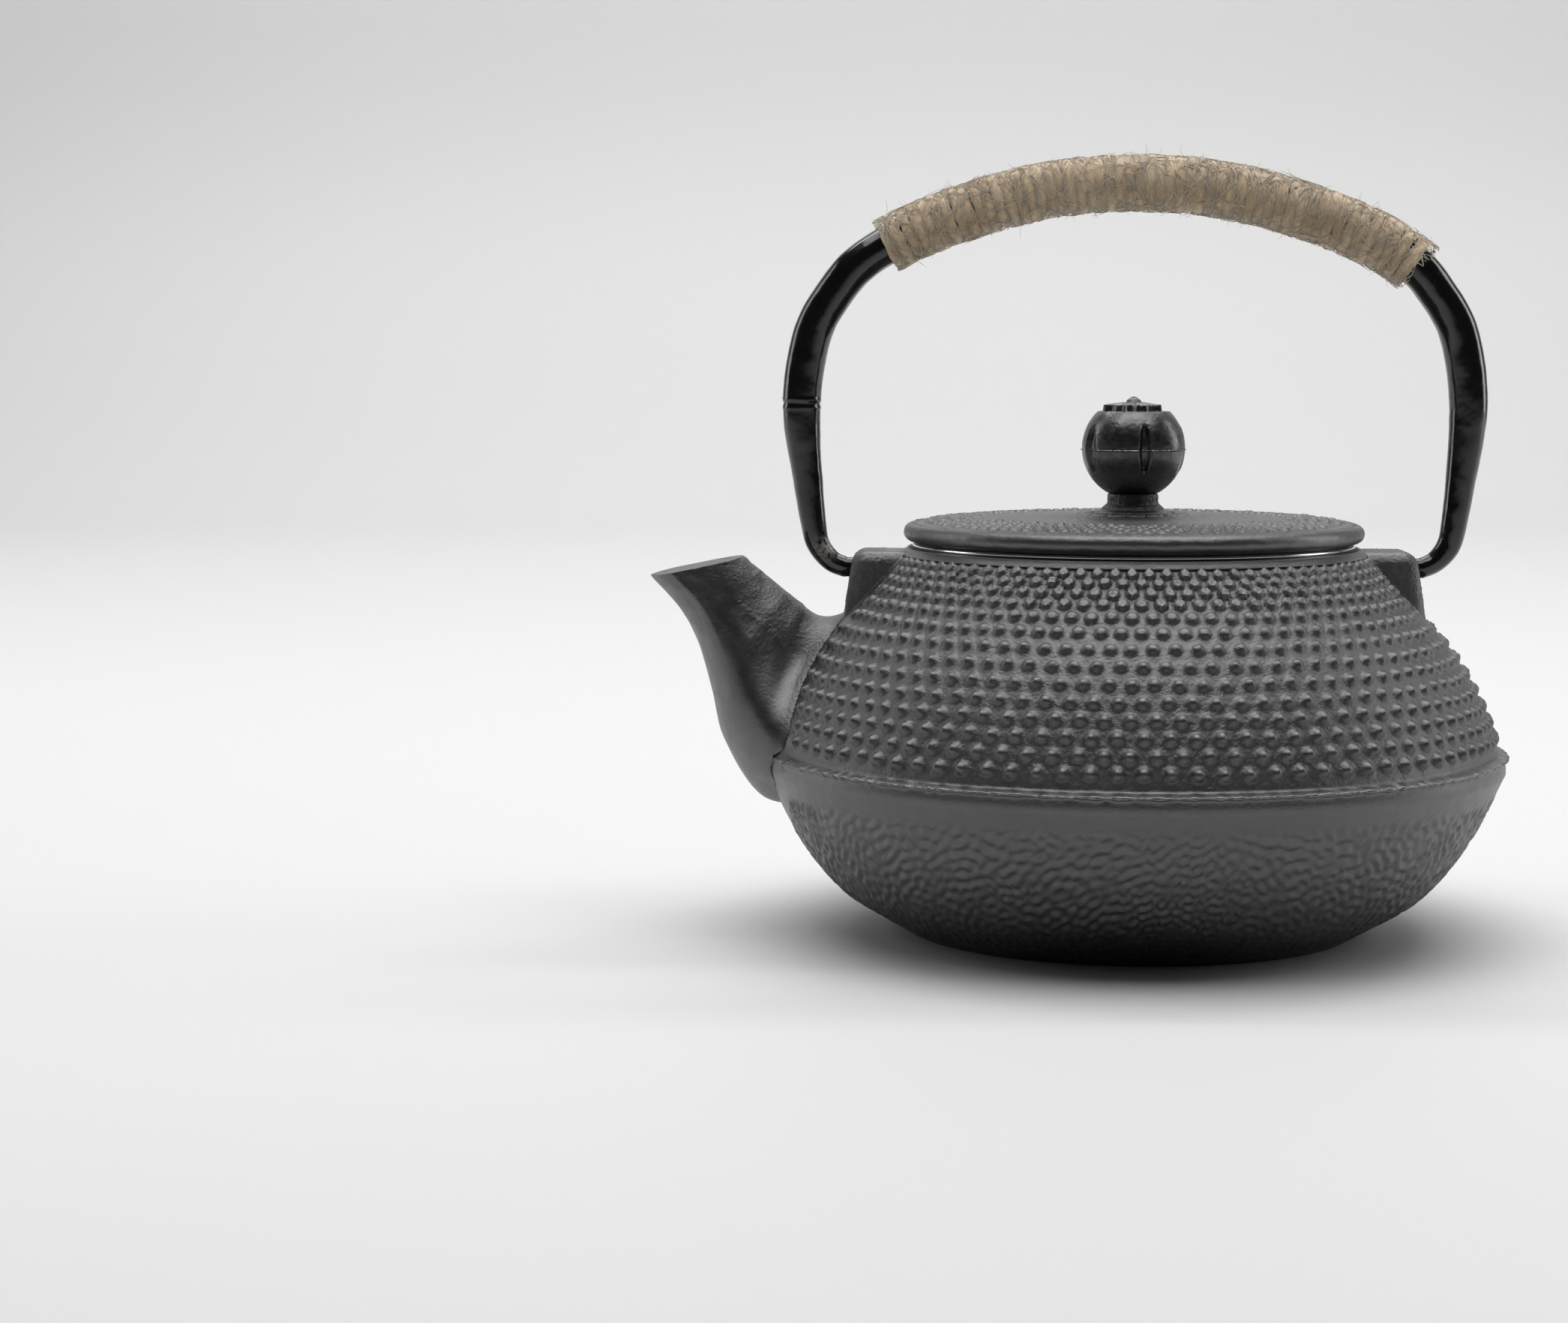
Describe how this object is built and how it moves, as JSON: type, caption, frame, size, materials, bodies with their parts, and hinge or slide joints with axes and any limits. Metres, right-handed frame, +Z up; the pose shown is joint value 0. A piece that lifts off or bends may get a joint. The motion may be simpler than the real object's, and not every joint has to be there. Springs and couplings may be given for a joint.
{
  "type": "cast iron teapot",
  "caption": "Round cast iron teapot with hobnail shoulder, short spout, loose lid with ball knob, steel mesh infuser and a twine-wrapped swinging bail handle.",
  "frame": {"origin": "middle of the flat base, on the surface that the pot stands on", "axes": "+Z up along the pot's axis, spout towards -X, bail's hinge axis along X"},
  "size_m": [0.1687, 0.1466, 0.1522],
  "materials": {
    "pot_iron": "satin black, cast texture",
    "lid_iron": "satin black, cast texture",
    "knob_iron": "semi-gloss black",
    "bail_enamel": "gloss black enamel",
    "grip_jute": "natural jute twine",
    "infuser_steel": "polished stainless",
    "infuser_mesh": "fine stainless mesh",
    "screw_steel": "plain zinc"
  },
  "bodies": {
    "pot": {"pot_body": "pot_iron"},
    "infuser": {"infuser_rim": "infuser_steel", "infuser_wall": "infuser_mesh", "infuser_base_ring": "infuser_steel", "infuser_floor": "infuser_mesh"},
    "lid": {"lid_plate": "lid_iron", "knob": "knob_iron", "knob_screw": "screw_steel", "screw_washer": "screw_steel"},
    "handle": {"bail": "bail_enamel", "grip_wrap": "grip_jute"}
  },
  "joints": [
    {"name": "handle_swing", "type": "hinge", "parent": "pot", "child": "handle", "pos_m": [0, 0, 0.0715], "axis": [1, 0, 0], "range_deg": [-105, 105]},
    {"name": "infuser_lift", "type": "slide", "parent": "pot", "child": "infuser", "axis": [0, 0, 1], "range_m": [0, 0.034]},
    {"name": "lid_lift", "type": "slide", "parent": "infuser", "child": "lid", "axis": [0, 0, 1], "range_m": [0, 0.034]}
  ]
}
